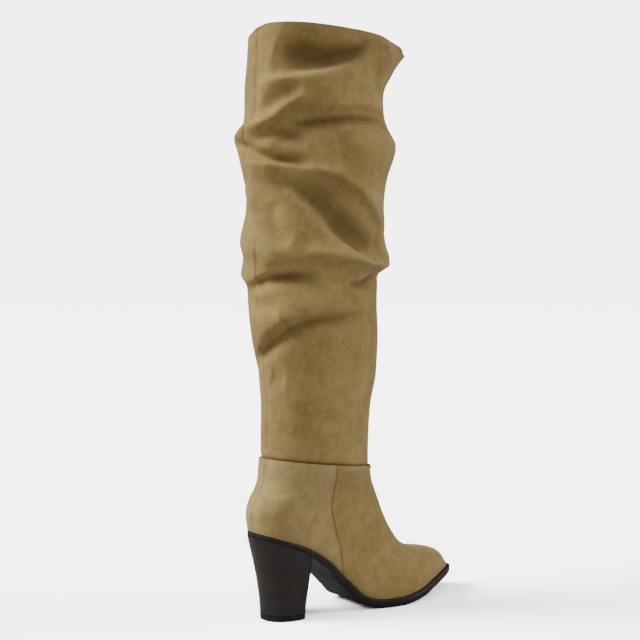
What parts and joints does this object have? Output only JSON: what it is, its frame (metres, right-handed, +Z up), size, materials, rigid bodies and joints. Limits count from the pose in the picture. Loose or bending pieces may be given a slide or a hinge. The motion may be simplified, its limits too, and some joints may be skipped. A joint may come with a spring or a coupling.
{
  "type": "knee-high boot",
  "caption": "Right knee-high slouch boot in sand suede with folded shaft, pointed almond toe, stacked block heel, thin dark sole and inner ankle zip.",
  "frame": {"origin": "middle of the heel's ground face, on the plane the boot stands on", "axes": "+X towards the toe, +Y towards the inner side of the foot, +Z up the shaft"},
  "size_m": [0.2442, 0.1198, 0.5353],
  "materials": {
    "suede": "matt sand suede with a soft nap",
    "sole": "matt near-black sole",
    "heel_stack": "dark stacked heel, satin",
    "heel_tip": "matt black top piece",
    "insole": "smooth tan sock",
    "zip_tape": "woven reddish-brown tape",
    "zip_metal": "dark antique metal"
  },
  "bodies": {
    "boot": {"outsole": "sole", "heel_block": "heel_stack", "heel_tip": "heel_tip", "insole": "insole", "upper": "suede", "shaft": "suede", "zip_tape": "zip_tape", "zip_teeth": "zip_metal", "zip_slider": "zip_metal"},
    "pull": {"zip_pull": "zip_metal"}
  },
  "joints": [
    {"name": "pull_turn", "type": "hinge", "parent": "boot", "child": "pull", "pos_m": [0.02875, 0.05125, 0.28988], "axis": [0.9947, 0.1001, 0.0222], "range_deg": [0, 150]}
  ]
}
